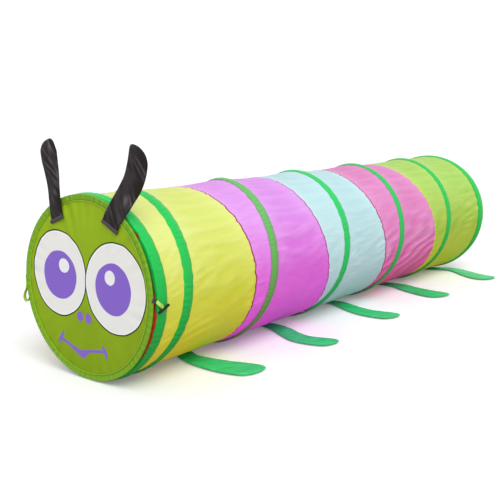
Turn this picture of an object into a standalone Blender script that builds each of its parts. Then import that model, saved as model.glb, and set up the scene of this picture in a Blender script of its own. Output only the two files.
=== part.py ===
"""A kids play tunnel: a pop-up cloth tube on a coiled spring wire, with the head of a garden bug as its door.

The axis runs along Y with the head at -Y, X is across and Z is up. The origin is on the floor
under the middle of the front hoop's sleeve. All lengths are in metres.
"""

import math

import bmesh
import bpy

# Overall size
TUNNEL_LENGTH = 1.83
TUNNEL_DIAMETER = 0.46
PANELS = 5

# Cloth, wire and the clearance between sewn pieces
CLOTH = 0.0012
WIRE = 0.0025
GAP = 0.0003

# Sleeves over the wire, and the tapes
SLEEVE_WIDTH = 0.030
RIDGE_WIDTH = 0.009
SEAM_WIDTH = 0.012
FACING_WIDTH = 0.016
COIL_LEAN = 0.073

# Door
RIM_WIDTH = 0.014
PIPING = 0.003

# Antennae
ANTENNA_LENGTH = 0.190
ANTENNA_BASE_WIDTH = 0.048
ANTENNA_WAIST_WIDTH = 0.044
ANTENNA_TOP_WIDTH = 0.064
ANTENNA_THICKNESS = 0.006
HEM_HEIGHT = 0.010
LEFT_LEAN = 0.022
RIGHT_LEAN = 0.100
FORWARD_LEAN = 0.014

# Legs
LEG_REACH = 0.330
LEG_WIDTH = 0.088
LEG_ROOT_WIDTH = 0.060
LEG_THICKNESS = 0.006
LEG_SWEEP = 0.035

# Toggle ties
RIBBON_WIDTH = 0.008
RIBBON_REACH = 0.014
BAR_LENGTH = 0.030
BAR_DIAMETER = 0.005
PATCH_SIZE = 0.003

# Proportions and counts
FACETS = 36
COIL_TURNS = 4.8
WIRE_SIDES = 6
PAD_STATIONS = 9
PAD_SHOULDER_SHARE = 0.62
PAD_ROUNDING_SHARE = 0.80
ANTENNA_OUT_SHARE = 0.398
ANTENNA_RISE_SHARE = 0.680
LEG_PLACE_SHARE = 0.80
LEG_TIP_SHARE = 0.45
ANTENNA_TIP_SHARE = 0.42

# Radii of the prism's corners, from the outside in
HALF_STEP = math.pi / FACETS
RIDGE_OUTER = TUNNEL_DIAMETER / 2
RIDGE_INNER = RIDGE_OUTER - CLOTH
WIRE_RADIUS = RIDGE_INNER - GAP - WIRE / 2
PANEL_OUTER = WIRE_RADIUS - WIRE / 2 - GAP
PANEL_INNER = PANEL_OUTER - CLOTH
SEAM_OUTER = PANEL_INNER - GAP
SEAM_INNER = SEAM_OUTER - CLOTH
FOOT_INNER = PANEL_OUTER + GAP
FOOT_OUTER = FOOT_INNER + CLOTH

# Places along the tunnel
AXIS_HEIGHT = RIDGE_OUTER * math.cos(HALF_STEP)
FRONT = -SLEEVE_WIDTH / 2
BACK = FRONT + TUNNEL_LENGTH
PITCH = TUNNEL_LENGTH / PANELS
FACING_FRONT = FRONT - GAP - CLOTH
RIM_HALF = WIRE / 2 + GAP + CLOTH
DOOR_BACK = FACING_FRONT - GAP
DOOR_MIDDLE = DOOR_BACK - RIM_HALF
DOOR_FACE = DOOR_MIDDLE - CLOTH / 2
ANTENNA_OUT = RIDGE_OUTER * ANTENNA_OUT_SHARE
ANTENNA_FOOT = AXIS_HEIGHT + RIDGE_OUTER * ANTENNA_RISE_SHARE

SLEEVE_GREEN = (0.016, 0.420, 0.070, 1.0)
YELLOW = (0.620, 0.660, 0.080, 1.0)
PURPLE = (0.690, 0.150, 0.650, 1.0)
PALE_BLUE = (0.450, 0.620, 0.630, 1.0)
PINK = (0.680, 0.150, 0.400, 1.0)
SPRING_GREEN = (0.420, 0.530, 0.070, 1.0)
FACE_GREEN = (0.250, 0.420, 0.030, 1.0)
RIM_GREEN = (0.160, 0.370, 0.035, 1.0)
PIPING_GREEN = (0.480, 0.650, 0.090, 1.0)
RED = (0.560, 0.040, 0.025, 1.0)
CHARCOAL = (0.035, 0.032, 0.033, 1.0)
STEEL = (0.350, 0.350, 0.360, 1.0)
BLACK = (0.012, 0.012, 0.012, 1.0)

PANEL_COLOURS = (
    ("yellow", YELLOW),
    ("purple", PURPLE),
    ("blue", PALE_BLUE),
    ("pink", PINK),
    ("green", SPRING_GREEN),
)
SIDES = (("left", -1), ("right", 1))


def clear_scene():
    for obj in list(bpy.data.objects):
        bpy.data.objects.remove(obj, do_unlink=True)
    parts = bpy.data.collections.new("play_tunnel")
    bpy.context.scene.collection.children.link(parts)
    return parts


def material(name, colour, roughness, metallic):
    made = bpy.data.materials.new(name)
    made.use_nodes = True
    shader = made.node_tree.nodes["Principled BSDF"]
    shader.inputs["Base Color"].default_value = colour
    shader.inputs["Roughness"].default_value = roughness
    shader.inputs["Metallic"].default_value = metallic
    made.diffuse_color = colour
    return made


def cloth_material(name, colour):
    return material(name, colour, roughness=0.6, metallic=0.0)


def steel_material(name):
    return material(name, STEEL, roughness=0.35, metallic=1.0)


def around(radius, corner, y):
    """A point at a corner of the prism, counted from the bottom towards +X."""
    angle = (2 * corner + 1) * HALF_STEP
    return (radius * math.sin(angle), y, AXIS_HEIGHT - radius * math.cos(angle))


def add_solid(parts, name, sections, looped, look, origin):
    """Joins sections of equal corner count into one closed body, with flat ends unless it is a loop."""
    mesh = bmesh.new()
    rows = []
    for section in sections:
        corners = [tuple(value - base for value, base in zip(point, origin)) for point in section]
        rows.append([mesh.verts.new(corner) for corner in corners])
    following = rows[1:] + rows[:1] if looped else rows[1:]
    for row, after in zip(rows, following):
        for index in range(len(row)):
            beside = (index + 1) % len(row)
            mesh.faces.new((row[index], row[beside], after[beside], after[index]))
    if not looped:
        mesh.faces.new(rows[0])
        mesh.faces.new(rows[-1])
    bmesh.ops.recalc_face_normals(mesh, faces=mesh.faces)
    data = bpy.data.meshes.new(name)
    mesh.to_mesh(data)
    mesh.free()
    data.materials.append(look)
    obj = bpy.data.objects.new(name, data)
    obj.location = origin
    parts.objects.link(obj)
    return obj


def add_ring(parts, name, profile, look, origin):
    """A closed ring about the tunnel's axis. The profile lists radius and y."""
    sections = [[around(radius, corner, y) for radius, y in profile] for corner in range(FACETS)]
    return add_solid(parts, name, sections, True, look, origin)


def add_coil(parts, name, profile, look, origin):
    """A strip wound round the tunnel, with each turn's top leaning to the head.

    The profile lists radius and the step from its centreline.
    """
    corners = round(FACETS * COIL_TURNS)
    first = FRONT + SLEEVE_WIDTH + GAP + SLEEVE_WIDTH / 2
    last = BACK - SLEEVE_WIDTH - GAP - SLEEVE_WIDTH / 2
    sections = []
    for corner in range(corners):
        rise = math.cos(HALF_STEP) - math.cos((2 * corner + 1) * HALF_STEP)
        middle = first + (last - first) * corner / (corners - 1) - COIL_LEAN * rise / 2
        sections.append([around(radius, corner, middle + step) for radius, step in profile])
    return add_solid(parts, name, sections, False, look, origin)


def band_profile(outer, inner, low, high):
    return [(inner, low), (outer, low), (outer, high), (inner, high)]


def round_profile(radius, y, diameter):
    turn = 2 * math.pi / WIRE_SIDES
    half = diameter / 2
    return [
        (radius + half * math.cos(side * turn), y + half * math.sin(side * turn))
        for side in range(WIRE_SIDES)
    ]


def sleeve_profile(middle):
    """A strip sewn down along both edges that passes over the wire like a tent."""
    edge = SLEEVE_WIDTH / 2
    ridge = RIDGE_WIDTH / 2
    return [
        (FOOT_INNER, middle - edge),
        (RIDGE_INNER, middle - ridge),
        (RIDGE_INNER, middle + ridge),
        (FOOT_INNER, middle + edge),
        (FOOT_OUTER, middle + edge),
        (RIDGE_OUTER, middle + ridge),
        (RIDGE_OUTER, middle - ridge),
        (FOOT_OUTER, middle - edge),
    ]


def rim_profile():
    """Binding folded over the door's wire, with the face cloth held between its two edges."""
    inside = RIDGE_OUTER - RIM_WIDTH
    wall = RIDGE_OUTER - CLOTH
    mouth = CLOTH / 2 + GAP
    room = WIRE / 2 + GAP
    return [
        (RIDGE_OUTER, DOOR_MIDDLE + RIM_HALF),
        (RIDGE_OUTER, DOOR_MIDDLE - RIM_HALF),
        (inside, DOOR_MIDDLE - mouth - CLOTH),
        (inside, DOOR_MIDDLE - mouth),
        (wall, DOOR_MIDDLE - room),
        (wall, DOOR_MIDDLE + room),
        (inside, DOOR_MIDDLE + mouth),
        (inside, DOOR_MIDDLE + mouth + CLOTH),
    ]


def pad_section(centre, half_width, half_thickness):
    """A flat stuffed section: full thickness between its shoulders, thin at both stitched edges."""
    shoulder = tuple(value * PAD_SHOULDER_SHARE for value in half_width)

    def at(across, up):
        return tuple(c + a + u for c, a, u in zip(centre, across, up))

    none = (0.0, 0.0, 0.0)
    back = tuple(-value for value in half_width)
    shoulder_back = tuple(-value for value in shoulder)
    down = tuple(-value for value in half_thickness)
    return [
        at(half_width, none),
        at(shoulder, half_thickness),
        at(shoulder_back, half_thickness),
        at(back, none),
        at(shoulder_back, down),
        at(shoulder, down),
    ]


def pad_stations():
    """Shares of a pad's length, closer together towards its tip."""
    return [math.sin(station / (PAD_STATIONS - 1) * math.pi / 2) for station in range(PAD_STATIONS)]


def pad_width(share, root, full, tip):
    """Width along a pad: from its root to its full width, then rounded off to its tip."""
    if share < PAD_ROUNDING_SHARE:
        return root + (full - root) * share / PAD_ROUNDING_SHARE
    past = (share - PAD_ROUNDING_SHARE) / (1.0 - PAD_ROUNDING_SHARE)
    return tip + (full - tip) * math.sqrt(1.0 - past * past)


def underside_reach(height):
    """How far out from the middle the cloth tube's faceted underside has risen to this height."""
    for corner in range(FACETS // 4):
        low = around(PANEL_OUTER, corner, 0.0)
        high = around(PANEL_OUTER, corner + 1, 0.0)
        if low[2] <= height <= high[2]:
            return low[0] + (high[0] - low[0]) * (height - low[2]) / (high[2] - low[2])
    return around(PANEL_OUTER, 0, 0.0)[0]


def add_box(parts, name, low, high, look, origin):
    corners = ((low[0], low[2]), (high[0], low[2]), (high[0], high[2]), (low[0], high[2]))
    sections = [[(x, y, z) for x, z in corners] for y in (low[1], high[1])]
    return add_solid(parts, name, sections, False, look, origin)


def leg_line(index):
    """Where the legs of one panel are sewn on, along the tunnel."""
    return FRONT + (index + LEG_PLACE_SHARE) * PITCH


def build_hoops(parts, look):
    for name, middle in (("front", FRONT + SLEEVE_WIDTH / 2), ("tail", BACK - SLEEVE_WIDTH / 2)):
        origin = (0.0, middle, AXIS_HEIGHT)
        wire = steel_material(name + "_hoop_steel")
        add_ring(parts, name + "_hoop_wire", round_profile(WIRE_RADIUS, middle, WIRE), wire, origin)
        add_ring(parts, name + "_hoop_sleeve", sleeve_profile(middle), look, origin)


def build_spring(parts, look):
    origin = (0.0, FRONT, AXIS_HEIGHT)
    wire = round_profile(WIRE_RADIUS, 0.0, WIRE)
    add_coil(parts, "spring_wire", wire, steel_material("spring_steel"), origin)
    add_coil(parts, "spring_sleeve", sleeve_profile(0.0), look, origin)


def build_panels(parts):
    for index, (name, colour) in enumerate(PANEL_COLOURS):
        origin = (0.0, leg_line(index), AXIS_HEIGHT)
        low = FRONT + index * PITCH + GAP / 2
        profile = band_profile(PANEL_OUTER, PANEL_INNER, low, low + PITCH - GAP)
        add_ring(parts, "panel_" + name, profile, cloth_material(name + "_cloth", colour), origin)


def build_seams(parts):
    look = cloth_material("seam_tape", RED)
    for index in range(PANELS - 1):
        middle = FRONT + (index + 1) * PITCH
        profile = band_profile(SEAM_OUTER, SEAM_INNER, middle - SEAM_WIDTH / 2, middle + SEAM_WIDTH / 2)
        origin = (0.0, leg_line(index), AXIS_HEIGHT)
        add_ring(parts, f"seam_binding_{index + 1}", profile, look, origin)


def build_facing(parts):
    look = cloth_material("facing_tape", RED)
    profile = band_profile(FOOT_OUTER, FOOT_OUTER - FACING_WIDTH, FACING_FRONT, FRONT - GAP)
    add_ring(parts, "door_facing", profile, look, (0.0, FRONT, AXIS_HEIGHT))


def build_door(parts):
    origin = (0.0, DOOR_BACK, AXIS_HEIGHT + RIDGE_OUTER * math.cos(HALF_STEP))
    face_radius = WIRE_RADIUS - WIRE / 2 - GAP
    corners = [around(face_radius, corner, 0.0) for corner in range(FACETS)]
    sections = [
        [(x, DOOR_MIDDLE + side * CLOTH / 2, z) for x, _, z in corners] for side in (-1.0, 1.0)
    ]
    add_solid(parts, "head_face", sections, False, cloth_material("face_cloth", FACE_GREEN), origin)
    add_ring(parts, "door_rim_binding", rim_profile(), cloth_material("rim_cloth", RIM_GREEN), origin)
    wire = round_profile(WIRE_RADIUS, DOOR_MIDDLE, WIRE)
    add_ring(parts, "door_wire", wire, steel_material("door_steel"), origin)
    piping_radius = RIDGE_OUTER - RIM_WIDTH - GAP - PIPING / 2
    piping = round_profile(piping_radius, DOOR_FACE - GAP - PIPING / 2, PIPING)
    add_ring(parts, "face_piping", piping, cloth_material("piping_cloth", PIPING_GREEN), origin)


def build_antennae(parts):
    look = cloth_material("antenna_nylon", CHARCOAL)
    hem_back = DOOR_FACE - GAP
    back = hem_back - PIPING - GAP
    front = back - ANTENNA_THICKNESS
    hem_top = ANTENNA_FOOT + HEM_HEIGHT
    door_origin = (0.0, DOOR_BACK, AXIS_HEIGHT + RIDGE_OUTER * math.cos(HALF_STEP))
    for (name, side), lean in zip(SIDES, (LEFT_LEAN, RIGHT_LEAN)):
        middle = side * ANTENNA_OUT
        low = (middle - ANTENNA_BASE_WIDTH / 2, front, ANTENNA_FOOT)
        high = (middle + ANTENNA_BASE_WIDTH / 2, hem_back, hem_top)
        add_box(parts, f"antenna_{name}_hem", low, high, look, door_origin)
        sections = []
        tip = ANTENNA_TOP_WIDTH * ANTENNA_TIP_SHARE
        for share in pad_stations():
            bend = math.sin(share * math.pi / 2)
            width = pad_width(share, ANTENNA_WAIST_WIDTH, ANTENNA_TOP_WIDTH, tip)
            centre = (
                middle + side * lean * bend,
                (front + back) / 2 - FORWARD_LEAN * share,
                hem_top + GAP + ANTENNA_LENGTH * share,
            )
            half_thickness = (0.0, -ANTENNA_THICKNESS / 2, 0.0)
            sections.append(pad_section(centre, (width / 2, 0.0, 0.0), half_thickness))
        add_solid(parts, f"antenna_{name}", sections, False, look, (middle, front, hem_top))


def build_legs(parts):
    look = cloth_material("leg_satin", SLEEVE_GREEN)
    root = underside_reach(LEG_THICKNESS + GAP)
    for index in range(PANELS):
        for name, side in SIDES:
            sections = []
            for share in pad_stations():
                width = pad_width(share, LEG_ROOT_WIDTH, LEG_WIDTH, LEG_WIDTH * LEG_TIP_SHARE)
                centre = (
                    side * (root + (LEG_REACH - root) * share),
                    leg_line(index) - LEG_SWEEP * math.sin(share * math.pi / 2),
                    LEG_THICKNESS / 2,
                )
                half_thickness = (0.0, 0.0, LEG_THICKNESS / 2)
                sections.append(pad_section(centre, (0.0, width / 2, 0.0), half_thickness))
            origin = (side * root, leg_line(index), LEG_THICKNESS)
            add_solid(parts, f"leg_{index + 1}_{name}", sections, False, look, origin)


def build_ties(parts):
    """A patch on the door's rim, and a ribbon from it with a crossbar that rests on the hoop's sleeve."""
    ribbon_look = cloth_material("tie_ribbon", PIPING_GREEN)
    bar_look = material("tie_plastic", BLACK, roughness=0.4, metallic=0.0)
    patch_look = cloth_material("tie_patch", CHARCOAL)
    wall = RIDGE_OUTER * math.cos(HALF_STEP) + GAP
    rim_front = DOOR_MIDDLE - RIM_HALF
    ribbon_start = rim_front + PATCH_SIZE + CLOTH + GAP
    ribbon_end = FRONT + RIBBON_REACH
    bar_middle = ribbon_end + GAP + BAR_DIAMETER / 2
    door_origin = (0.0, DOOR_BACK, AXIS_HEIGHT + RIDGE_OUTER * math.cos(HALF_STEP))
    for name, side in SIDES:
        near, far = sorted((side * wall, side * (wall + CLOTH)))
        patch_low = (near, rim_front, AXIS_HEIGHT - RIBBON_WIDTH / 2)
        patch_high = (far, rim_front + PATCH_SIZE, AXIS_HEIGHT + RIBBON_WIDTH / 2)
        add_box(parts, f"tie_patch_{name}", patch_low, patch_high, patch_look, door_origin)
        origin = (side * wall, ribbon_start, AXIS_HEIGHT)
        ribbon_low = (near, ribbon_start, AXIS_HEIGHT - RIBBON_WIDTH / 2)
        ribbon_high = (far, ribbon_end, AXIS_HEIGHT + RIBBON_WIDTH / 2)
        add_box(parts, f"tie_ribbon_{name}", ribbon_low, ribbon_high, ribbon_look, origin)
        outline = round_profile(side * (wall + BAR_DIAMETER / 2), bar_middle, BAR_DIAMETER)
        sections = [
            [(x, y, AXIS_HEIGHT + end * BAR_LENGTH / 2) for x, y in outline] for end in (-1.0, 1.0)
        ]
        add_solid(parts, f"tie_bar_{name}", sections, False, bar_look, origin)


def main():
    parts = clear_scene()
    sleeve = cloth_material("sleeve_satin", SLEEVE_GREEN)
    build_hoops(parts, sleeve)
    build_spring(parts, sleeve)
    build_panels(parts)
    build_seams(parts)
    build_facing(parts)
    build_door(parts)
    build_antennae(parts)
    build_legs(parts)
    build_ties(parts)


main()
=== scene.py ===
"""The look of the kids play tunnel: cloth, wire, printed face, antennae, legs and ties, over its solids."""

import math

import bpy
import numpy as np
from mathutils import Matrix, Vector, noise


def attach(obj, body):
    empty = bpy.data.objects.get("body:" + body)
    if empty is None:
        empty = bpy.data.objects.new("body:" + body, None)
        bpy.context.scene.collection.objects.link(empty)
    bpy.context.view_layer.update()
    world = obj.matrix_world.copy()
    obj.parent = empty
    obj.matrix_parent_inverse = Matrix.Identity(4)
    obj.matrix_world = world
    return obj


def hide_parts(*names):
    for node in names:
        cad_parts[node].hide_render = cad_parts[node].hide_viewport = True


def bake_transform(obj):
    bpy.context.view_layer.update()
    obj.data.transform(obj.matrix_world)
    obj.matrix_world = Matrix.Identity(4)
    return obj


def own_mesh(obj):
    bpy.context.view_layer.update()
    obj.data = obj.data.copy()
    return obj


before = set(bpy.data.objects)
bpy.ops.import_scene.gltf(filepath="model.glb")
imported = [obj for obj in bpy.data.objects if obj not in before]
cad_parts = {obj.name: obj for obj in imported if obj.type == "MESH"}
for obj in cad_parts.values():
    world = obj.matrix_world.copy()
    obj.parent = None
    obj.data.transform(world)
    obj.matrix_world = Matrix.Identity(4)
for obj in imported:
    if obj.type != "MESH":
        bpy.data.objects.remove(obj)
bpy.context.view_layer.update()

# Sizes are in metres, X runs to the right, Y to the tail and Z up
PANELS = 5
PANEL_NAMES = ("yellow", "purple", "blue", "pink", "green")
SIDES = (("left", -1.0), ("right", 1.0))
FRONT = -0.015
LENGTH = 1.83
PITCH = LENGTH / PANELS
BACK = FRONT + LENGTH
HEIGHT = 0.2291
HOOP = 0.23
WIRE_LINE = 0.22725
WIRE_THICK = 0.0024
PANEL_RADIUS = 0.2256
TURN = 2.0 * math.pi

# Thickness of the cloth of the panels, of the face and the seam tapes, and of the sleeves and bindings
PANEL_CLOTH = 0.0009
FACE_CLOTH = 0.0008
SLEEVE_CLOTH = 0.0006
# Points of a sheet that are nearer to each other than this become one
MERGE = 0.00002
# The tube's cloth comes no nearer to the floor than this
OFF_FLOOR = 0.0001

# The door: how far aside it hangs, its size beside the mouth's, and how far off the mouth it stands
DOOR_SHIFT = -0.0040
DOOR_SHARE = 0.990
DOOR_FORWARD = 0.0006
DOOR_GAP = 0.010
FACE_RADIUS = 0.2254
FACE_PLANE = -0.0199
RIM_PLANE = -0.01955
PIPING_RADIUS = 0.2142
PIPING_PLANE = -0.0219
ANTENNA_PLANE = -0.0243

# Sleeves, and how far they stand off the panel over the wire
SLEEVE = 0.030
COIL_SLEEVE = 0.032
SLEEVE_TENT = 0.0042

# The coil under its sleeve
COIL_FIRST = 0.0303
COIL_RUN = 1.7394
COIL_CORNERS = 172
COIL_LEAN = 0.073
COIL_DRIFTS = (0.008, -0.009, 0.004, 0.0, 0.0)
COIL_STEPS = 36
STEP = math.radians(360.0 / COIL_STEPS)

# How far each seam leans: at the bottom, at the right side, and its own shift
SEAM_LEANS = (
    (0.0, 0.0, 0.0), (0.0145, 0.0275, -0.0185), (0.0555, -0.0185, 0.0145),
    (0.0620, -0.0160, -0.0020), (0.0615, 0.0195, -0.0315), (-0.0040, 0.0140, 0.0060),
)
# The tunnel lies straight up to here, and its tail this far to the right
BEND_FROM = 1.10
BEND = 0.018

# On each band: the middle and spread of its slanted folds, in degrees from the bottom, and how strong
DRAWN_FOLDS = (
    (92.0, 24.0, 0.22), (100.0, 22.0, 0.16), (88.0, 22.0, 0.16),
    (68.0, 27.0, 1.00), (92.0, 20.0, 0.30),
)
# How proud a band's finest folds stand: gathers at its seams, puckers by the coil, creases and slanted folds
GATHER = 0.0007
PUCKER = 0.0006
CREASE = 0.0020
DRAWN = 0.0017

# The net that the tube's cloth settles on, round and along, and how long it settles
NET_ROUND = 168
NET_ALONG = 42 * PANELS
SETTLE_FRAMES = 16
CUT_WIDER = 1.006
CUT_SHORTER = 0.996
SEWN_BY_WIRE = 0.0145
SEWN_BY_SEAM = 0.0012

# The printed face, across and up from the middle of the door: centres and half sizes of its ovals
EYES = (((-0.1025, 0.0255), (0.0965, 0.1056)), ((0.0988, 0.0122), (0.1030, 0.1083)))
IRISES = (((-0.1000, 0.0215), (0.0608, 0.0605)), ((0.0908, 0.0105), (0.0618, 0.0622)))
GLINTS = (((-0.0835, 0.0457), (0.0185, 0.0178)), ((0.0805, 0.0360), (0.0181, 0.0185)))
NOSTRILS = (((-0.0305, -0.0735), (0.0115, 0.0125)), ((0.0000, -0.0752), (0.0110, 0.0130)))
# Its smile and the ticks at the ends: across, up and half width along each stroke
SMILE = (
    (
        (-0.1067, -0.1410, 0.0038), (-0.0817, -0.1485, 0.0044), (-0.0587, -0.1575, 0.0054),
        (-0.0407, -0.1648, 0.0078), (-0.0257, -0.1682, 0.0104), (-0.0117, -0.1612, 0.0056),
        (0.0013, -0.1565, 0.0040), (0.0323, -0.1510, 0.0038), (0.0563, -0.1475, 0.0040),
    ),
    (
        (-0.0947, -0.1215, 0.0022), (-0.1017, -0.1340, 0.0048),
        (-0.1077, -0.1430, 0.0052), (-0.1142, -0.1530, 0.0024),
    ),
    (
        (0.0463, -0.1345, 0.0022), (0.0538, -0.1435, 0.0044),
        (0.0588, -0.1515, 0.0050), (0.0608, -0.1635, 0.0024),
    ),
)
PRINT_EDGE = 0.0012
# How much larger each layer of an eye is than its white, and its colour
EYE_INKS = ((0.0034, (12, 14, 10)), (0.0, (250, 249, 250)), (-0.0030, (236, 235, 231)))
VIOLET = (136, 102, 204)
GLINT_WHITE = (240, 239, 241)
# The face's green, deeper and paler, mixed by random clouds and by painted light towards the top
FACE_GREENS = ((128, 158, 14), (152, 184, 26))

# Each band's colour low down, at mid height and on top, with painted light: deeper low down and paler on top
PANEL_TONES_WITH_PAINTED_LIGHT = {
    "yellow": ((238, 217, 44), (213, 215, 80), (224, 232, 142)),
    "purple": ((255, 97, 244), (223, 115, 216), (224, 164, 233)),
    "blue": ((192, 216, 224), (190, 218, 221), (196, 226, 229)),
    "pink": ((240, 90, 164), (219, 133, 187), (223, 150, 199)),
    "green": ((212, 216, 42), (166, 193, 70), (180, 214, 114)),
}
# What shows of the thread and tape at each seam
SEAM_THREADS = ((168, 52, 96), (196, 60, 160), (168, 50, 110), (232, 220, 70))
# The satin's painted shade and painted light over each band: in its creases and low down, and on its folds
# and high up
SATIN_PAINTED_SHADE = ((4, 124, 16), (98, 98, 40), (14, 146, 60), (30, 134, 56), (14, 142, 36))
SATIN_PAINTED_LIGHT = ((44, 208, 96), (104, 196, 104), (50, 212, 110), (56, 204, 100), (50, 204, 90))
THREADS_PER_METRE = 900.0

# Stations up each antenna: across, up and full width
LEFT_ANTENNA = (
    (-0.0985, 0.3910, 0.046), (-0.0995, 0.4070, 0.0455), (-0.0993, 0.4300, 0.0445), (-0.0984, 0.4670, 0.045),
    (-0.0993, 0.5070, 0.055), (-0.1023, 0.5400, 0.061), (-0.1015, 0.5650, 0.060), (-0.0960, 0.5870, 0.050),
)
RIGHT_ANTENNA = (
    (0.0910, 0.3915, 0.052), (0.1045, 0.4115, 0.053), (0.1260, 0.4350, 0.055), (0.1577, 0.4700, 0.057),
    (0.1790, 0.4965, 0.060), (0.1925, 0.5230, 0.062), (0.2005, 0.5500, 0.060), (0.2015, 0.5800, 0.054),
)
# Each antenna's stations, its tip, the tilt of its root, and the middle and width of its hem
ANTENNAE = {
    "left": (LEFT_ANTENNA, (0.036, 0.25, 1.5, 2.2), math.radians(-22.0), (-0.0995, 0.3890), 0.049),
    "right": (RIGHT_ANTENNA, (0.040, -0.5, 3.0, 1.8), math.radians(28.0), (0.0895, 0.3880), 0.056),
}
HEM_SIZE = (0.0042, 0.0100)

LEG_TIP = (0.042, -0.40, 3.0, 1.9)
# How far from the middle each leg's root is sewn, and how high the leg's own middle lies
LEG_ROOT = 0.033
LEG_MIDDLE = 0.0038
# Stations out along each leg: out from the middle, along from the leg's line, and full width
LEG_STATIONS = (
    ((0.033, 0.000, 0.050), (0.075, -0.022, 0.056), (0.120, -0.030, 0.070), (0.165, -0.030, 0.084),
     (0.210, -0.025, 0.096), (0.248, -0.015, 0.100), (0.281, -0.006, 0.096), (0.300, -0.001, 0.088)),
    ((0.033, 0.000, 0.050), (0.075, -0.004, 0.056), (0.120, -0.020, 0.060), (0.165, -0.045, 0.064),
     (0.220, -0.064, 0.074), (0.264, -0.058, 0.079), (0.302, -0.045, 0.078), (0.321, -0.039, 0.072)),
    ((0.033, 0.000, 0.050), (0.075, 0.002, 0.056), (0.120, -0.018, 0.060), (0.165, -0.038, 0.068),
     (0.215, -0.052, 0.078), (0.263, -0.050, 0.086), (0.302, -0.042, 0.084), (0.322, -0.038, 0.076)),
    ((0.033, 0.000, 0.050), (0.075, 0.006, 0.060), (0.120, 0.002, 0.068), (0.165, -0.018, 0.078),
     (0.215, -0.034, 0.088), (0.265, -0.044, 0.098), (0.300, -0.045, 0.096), (0.322, -0.045, 0.086)),
    ((0.033, 0.000, 0.050), (0.080, 0.030, 0.056), (0.132, 0.046, 0.060), (0.188, 0.020, 0.068),
     (0.235, -0.010, 0.080), (0.280, -0.029, 0.089), (0.312, -0.028, 0.086), (0.332, -0.026, 0.078)),
)

# Each tie's ribbon: out from the sleeve, along and up, the way its width lies, and where its crossbar is
TIE_PATHS = {
    "left": (
        ((0.0030, -0.0205, -0.030), (0.0130, -0.0195, -0.045), (0.0160, -0.0185, -0.060),
         (0.0100, -0.0160, -0.068), (0.0045, -0.0070, -0.050), (0.0012, 0.0030, -0.018)),
        (0.0, 1.0, 0.15),
        0.0040,
    ),
    "right": (
        ((0.0016, -0.0165, -0.006), (0.0026, -0.0105, -0.012), (0.0010, -0.0050, -0.0175)),
        (0.0, 0.55, 0.83),
        -0.0050,
    ),
}
RIBBON_WIDTH = 0.009


# Mesh tools


def deselect():
    bpy.ops.object.select_all(action="DESELECT")


def select_only(obj):
    deselect()
    obj.select_set(True)
    bpy.context.view_layer.objects.active = obj


def points_of(obj):
    flat = np.empty(len(obj.data.vertices) * 3)
    obj.data.vertices.foreach_get("co", flat)
    return flat.reshape(-1, 3)


def move_points(obj, points):
    obj.data.vertices.foreach_set("co", np.ascontiguousarray(points, dtype=float).ravel())
    obj.data.update()


def finish_with(obj, kind, **settings):
    """Adds one modifier and applies it."""
    bpy.context.view_layer.objects.active = obj
    modifier = obj.modifiers.new(kind.title(), kind)
    for key, value in settings.items():
        setattr(modifier, key, value)
    bpy.ops.object.modifier_apply(modifier=modifier.name)


def edit_whole(obj, tool, **settings):
    """Uses one edit mode tool on the whole of a piece."""
    bpy.context.view_layer.objects.active = obj
    bpy.ops.object.mode_set(mode="EDIT")
    bpy.ops.mesh.select_all(action="SELECT")
    tool(**settings)
    bpy.ops.object.mode_set(mode="OBJECT")


def set_in_place(obj, turn, place):
    """Turns and moves a piece about the origin, with its place kept in its mesh."""
    obj.rotation_euler = turn
    obj.location = place
    bpy.ops.object.transform_apply(location=True, rotation=True, scale=True)


def new_piece(name, add, **settings):
    """A piece that starts as one of Blender's own shapes."""
    deselect()
    add(**settings)
    obj = bpy.context.object
    obj.name = name
    return obj


def soft_block(name, sizes, soften, segments):
    """A small block with rounded edges at the origin."""
    obj = new_piece(name, bpy.ops.mesh.primitive_cube_add, size=1.0, scale=sizes)
    bpy.ops.object.transform_apply(location=True, rotation=True, scale=True)
    finish_with(obj, "BEVEL", width=soften, segments=segments)
    return obj


def keep_values(obj, name, values):
    """Keeps one number a point on the mesh, for its material."""
    kept = obj.data.attributes.new(name, "FLOAT", "POINT")
    kept.data.foreach_set("value", np.ascontiguousarray(values, dtype=np.float32))


def size_uv(obj, width, length):
    """Stretches the piece's UVs to its flat size in metres."""
    uv = obj.data.uv_layers.active.data
    flat = np.empty(len(uv) * 2)
    uv.foreach_get("uv", flat)
    uv.foreach_set("uv", (flat.reshape(-1, 2) * np.array([width, length])).ravel())


def unit_grid(name, across, along):
    add = bpy.ops.mesh.primitive_grid_add
    return new_piece(name, add, x_subdivisions=across, y_subdivisions=along, size=1.0)


def cloth_grid(name, counts, flat, place):
    """A sheet cut as a fine grid, laid into place, with its UVs in metres.

    place turns shares of its width and length into points and the height of each fold.
    """
    obj = unit_grid(name, *counts)
    obj.data.name = name
    shares = np.clip(points_of(obj) + 0.5, 0.0, 1.0)
    points, folds = place(shares[:, 0], shares[:, 1])
    move_points(obj, points)
    keep_values(obj, "fold", folds)
    keep_values(obj, "under", band_under(points))
    size_uv(obj, *flat)
    edit_whole(obj, bpy.ops.mesh.remove_doubles, threshold=MERGE)
    return obj


def outward(obj, centre_of):
    """Turns the sheet's faces away from the middle that centre_of gives."""
    mesh = obj.data
    normals = np.empty(len(mesh.polygons) * 3)
    centres = np.empty(len(mesh.polygons) * 3)
    mesh.polygons.foreach_get("normal", normals)
    mesh.polygons.foreach_get("center", centres)
    centres = centres.reshape(-1, 3)
    if (normals.reshape(-1, 3) * (centres - centre_of(centres))).sum() < 0:
        mesh.flip_normals()


def tube_middle(points):
    return np.stack([bend_at(points[:, 1]), points[:, 1], np.full(len(points), HEIGHT)], axis=1)


def thicken(obj, thickness, even=True):
    finish_with(obj, "SOLIDIFY", thickness=thickness, offset=-1.0, use_even_offset=even)
    select_only(obj)
    bpy.ops.object.shade_smooth()


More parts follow.
